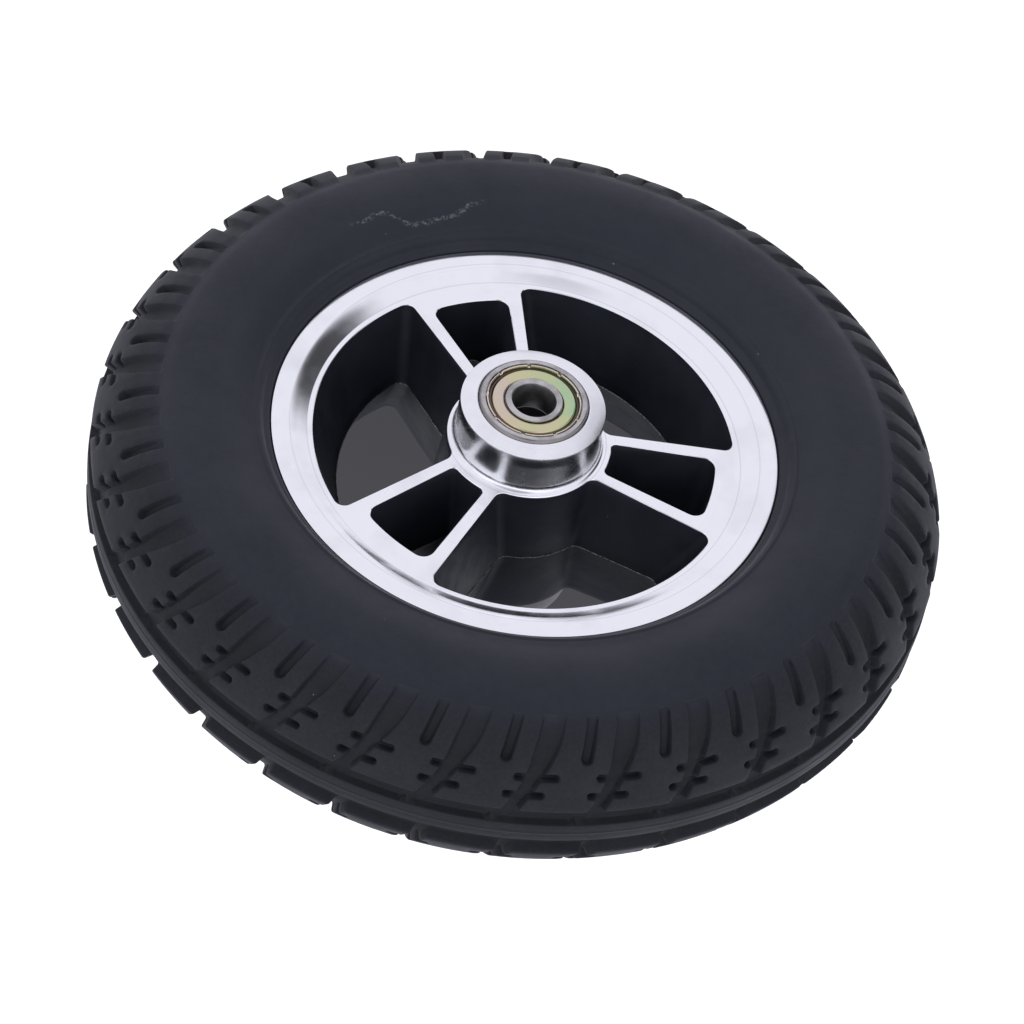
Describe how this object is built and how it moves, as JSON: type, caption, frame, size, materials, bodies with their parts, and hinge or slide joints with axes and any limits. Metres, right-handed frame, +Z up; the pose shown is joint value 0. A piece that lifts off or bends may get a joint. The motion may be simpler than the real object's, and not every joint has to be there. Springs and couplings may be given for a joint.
{
  "type": "scooter wheel",
  "caption": "Scooter wheel with a solid treaded rubber tyre on a cast rim, turning on shielded ball bearings around a through axle bore.",
  "frame": {"origin": "centre of the wheel, on the axle line, midway between the two bearings", "axes": "+Y along the axle toward the rear face, front face toward -Y, +Z up; the tyre's lowest point is at -Z"},
  "size_m": [0.1976, 0.06, 0.1976],
  "materials": {
    "tyre_rubber": "moulded rubber, satin to matt, with chalky scuffs",
    "rim_aluminium": "machined bright on the faces, satin black paint in the pockets",
    "ring_steel": "ground",
    "shield_zinc": "yellow passivated zinc plate",
    "cage_steel": "pressed sheet",
    "ball_steel": "polished",
    "rivet_steel": "plain",
    "spacer_steel": "plain drawn tube"
  },
  "bodies": {
    "axle_set": {"spacer_tube": "spacer_steel", "front_inner_ring": "ring_steel", "rear_inner_ring": "ring_steel"},
    "wheel": {"tyre": "tyre_rubber", "rim": "rim_aluminium", "front_outer_ring": "ring_steel", "front_shield_outside": "shield_zinc", "front_shield_inside": "shield_zinc", "rear_outer_ring": "ring_steel", "rear_shield_outside": "shield_zinc", "rear_shield_inside": "shield_zinc"},
    "front_ball_train": {"front_cage_half_outside": "cage_steel", "front_cage_half_inside": "cage_steel", "front_ball_1": "ball_steel", "front_rivet_1": "rivet_steel", "front_ball_2": "ball_steel", "front_rivet_2": "rivet_steel", "front_ball_3": "ball_steel", "front_rivet_3": "rivet_steel", "front_ball_4": "ball_steel", "front_rivet_4": "rivet_steel", "front_ball_5": "ball_steel", "front_rivet_5": "rivet_steel", "front_ball_6": "ball_steel", "front_rivet_6": "rivet_steel", "front_ball_7": "ball_steel", "front_rivet_7": "rivet_steel"},
    "rear_ball_train": {"rear_cage_half_outside": "cage_steel", "rear_cage_half_inside": "cage_steel", "rear_ball_1": "ball_steel", "rear_rivet_1": "rivet_steel", "rear_ball_2": "ball_steel", "rear_rivet_2": "rivet_steel", "rear_ball_3": "ball_steel", "rear_rivet_3": "rivet_steel", "rear_ball_4": "ball_steel", "rear_rivet_4": "rivet_steel", "rear_ball_5": "ball_steel", "rear_rivet_5": "rivet_steel", "rear_ball_6": "ball_steel", "rear_rivet_6": "rivet_steel", "rear_ball_7": "ball_steel", "rear_rivet_7": "rivet_steel"}
  },
  "joints": [
    {"name": "wheel_spin", "type": "hinge", "parent": "axle_set", "child": "wheel", "pos_m": [0, 0, 0], "axis": [0, 1, 0], "continuous": true},
    {"name": "front_cage_orbit", "type": "hinge", "parent": "axle_set", "child": "front_ball_train", "pos_m": [0, -0.026, 0], "axis": [0, 1, 0], "continuous": true},
    {"name": "rear_cage_orbit", "type": "hinge", "parent": "axle_set", "child": "rear_ball_train", "pos_m": [0, 0.026, 0], "axis": [0, 1, 0], "continuous": true}
  ],
  "couplings": [
    {"joint": "front_cage_orbit", "follows": "wheel_spin", "ratio": 0.63222},
    {"joint": "rear_cage_orbit", "follows": "wheel_spin", "ratio": 0.63222}
  ]
}
